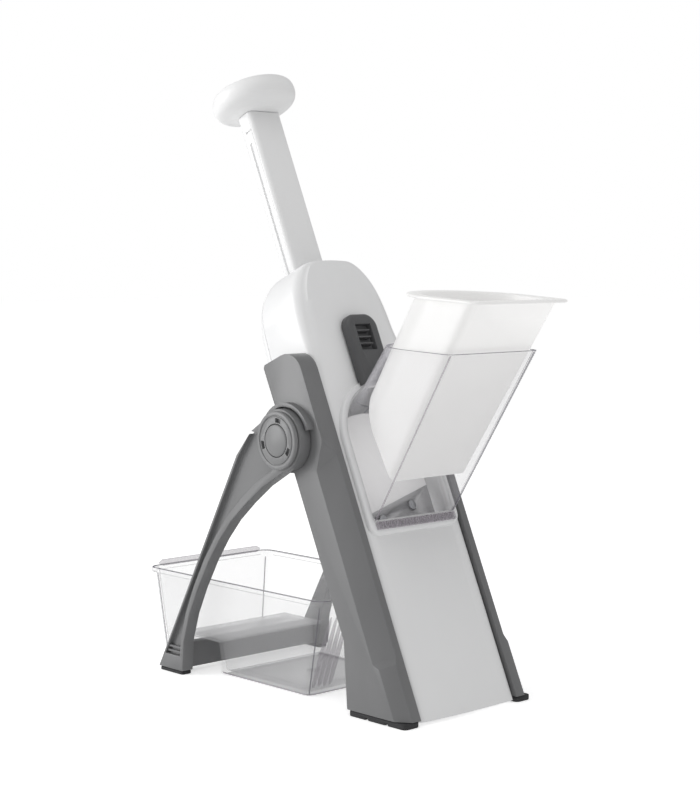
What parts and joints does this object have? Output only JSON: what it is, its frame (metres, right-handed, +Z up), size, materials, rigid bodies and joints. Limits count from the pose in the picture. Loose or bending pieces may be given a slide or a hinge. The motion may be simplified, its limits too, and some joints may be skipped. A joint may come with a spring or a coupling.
{
  "type": "hand-pumped vegetable slicer",
  "caption": "Upright hand-pumped vegetable slicer on a folding stand: palm plunger, slanted blade, clear feed chute with pusher, and clear catch bin.",
  "frame": {"origin": "middle of the bounding box at the floor the feet stand on", "axes": "+Z up; -Y towards the feed chute, the side the food goes in; +Y towards the stand's foot; X across, the object being alike on both sides"},
  "size_m": [0.1338, 0.2862, 0.3866],
  "materials": {
    "white_plastic": "white, satin gloss, moulded",
    "grey_plastic": "mid grey, fine satin texture",
    "hub_plastic": "mid grey, satin",
    "latch_plastic": "dark grey, satin",
    "rubber": "dark grey rubber, matte",
    "blade_steel": "ground stainless steel",
    "pin_steel": "plain steel",
    "clear_plastic": "clear, polished",
    "milky_plastic": "milky translucent, satin"
  },
  "bodies": {
    "housing": {"front_shell": "white_plastic", "rear_shell": "white_plastic", "rear_screw_1": "pin_steel", "rear_screw_2": "pin_steel", "rear_screw_3": "pin_steel", "rear_screw_4": "pin_steel", "side_rail_left": "grey_plastic", "side_rail_right": "grey_plastic", "rail_pad_left": "rubber", "rail_pad_right": "rubber", "pivot_pin_left": "pin_steel", "pivot_pin_right": "pin_steel", "slice_guide": "white_plastic", "spring_seat": "white_plastic", "return_spring_left": "pin_steel", "return_spring_right": "pin_steel"},
    "plunger": {"plunger_stem": "white_plastic", "plunger_knob": "white_plastic", "blade_carriage": "white_plastic", "main_blade": "blade_steel", "blade_rivet_1": "pin_steel", "blade_rivet_2": "pin_steel", "blade_rivet_3": "pin_steel"},
    "stand": {"stand_leg_left": "grey_plastic", "stand_leg_right": "grey_plastic", "stand_crossbar": "grey_plastic", "stand_foot_pad_left": "rubber", "stand_foot_pad_right": "rubber", "hub_cover_left": "hub_plastic", "hub_cover_right": "hub_plastic", "hub_cap_left": "hub_plastic", "hub_cap_right": "hub_plastic"},
    "chute": {"feed_chute": "clear_plastic"},
    "pusher": {"pusher": "milky_plastic"},
    "latch": {"chute_latch": "latch_plastic"},
    "adjuster": {"thickness_knob": "latch_plastic", "adjust_spindle": "pin_steel"},
    "deck": {"landing_deck": "white_plastic", "steel_deck_plate": "blade_steel", "deck_rivet_1": "pin_steel", "deck_rivet_2": "pin_steel"},
    "comb": {"comb_bar": "white_plastic", "julienne_comb": "blade_steel"},
    "catch_bin": {"catch_bin": "clear_plastic"}
  },
  "joints": [
    {"name": "plunger_travel", "type": "slide", "parent": "housing", "child": "plunger", "axis": [0, -0.4067, -0.9135], "range_m": [0, 0.08], "stiffness_N_per_m": 200, "springref_m": -0.05, "deforming": ["return_spring_left", "return_spring_right"]},
    {"name": "stand_fold", "type": "hinge", "parent": "housing", "child": "stand", "pos_m": [0, -0.00597, 0.15978], "axis": [1, 0, 0], "range_deg": [-49, 0]},
    {"name": "chute_off", "type": "slide", "parent": "housing", "child": "chute", "axis": [0, -0.9135, 0.4067], "range_m": [0, 0.045]},
    {"name": "pusher_travel", "type": "slide", "parent": "chute", "child": "pusher", "axis": [0, -0.5476, 0.8368], "range_m": [-0.0222, 0.12]},
    {"name": "latch_lift", "type": "slide", "parent": "housing", "child": "latch", "axis": [0, 0.4067, 0.9135], "range_m": [0, 0.008], "stiffness_N_per_m": 300, "springref_m": -0.005},
    {"name": "thickness_turn", "type": "hinge", "parent": "housing", "child": "adjuster", "pos_m": [0, 0.00386, 0.12333], "axis": [0, 0.9135, -0.4067], "range_deg": [0, 270]},
    {"name": "deck_shift", "type": "slide", "parent": "housing", "child": "deck", "axis": [0, 0.9135, -0.4067], "range_m": [0, 0.005]},
    {"name": "comb_shift", "type": "slide", "parent": "housing", "child": "comb", "axis": [0, -0.9135, 0.4067], "range_m": [0, 0.005]},
    {"name": "bin_lift", "type": "slide", "parent": "housing", "child": "catch_bin", "axis": [0, 0.6428, 0.766], "range_m": [0, 0.28]}
  ],
  "couplings": [
    {"joint": "thickness_turn", "follows": "deck_shift", "rad_per_m": 941.53},
    {"joint": "bin_lift", "follows": "stand_fold", "m_per_rad": -0.32708}
  ]
}
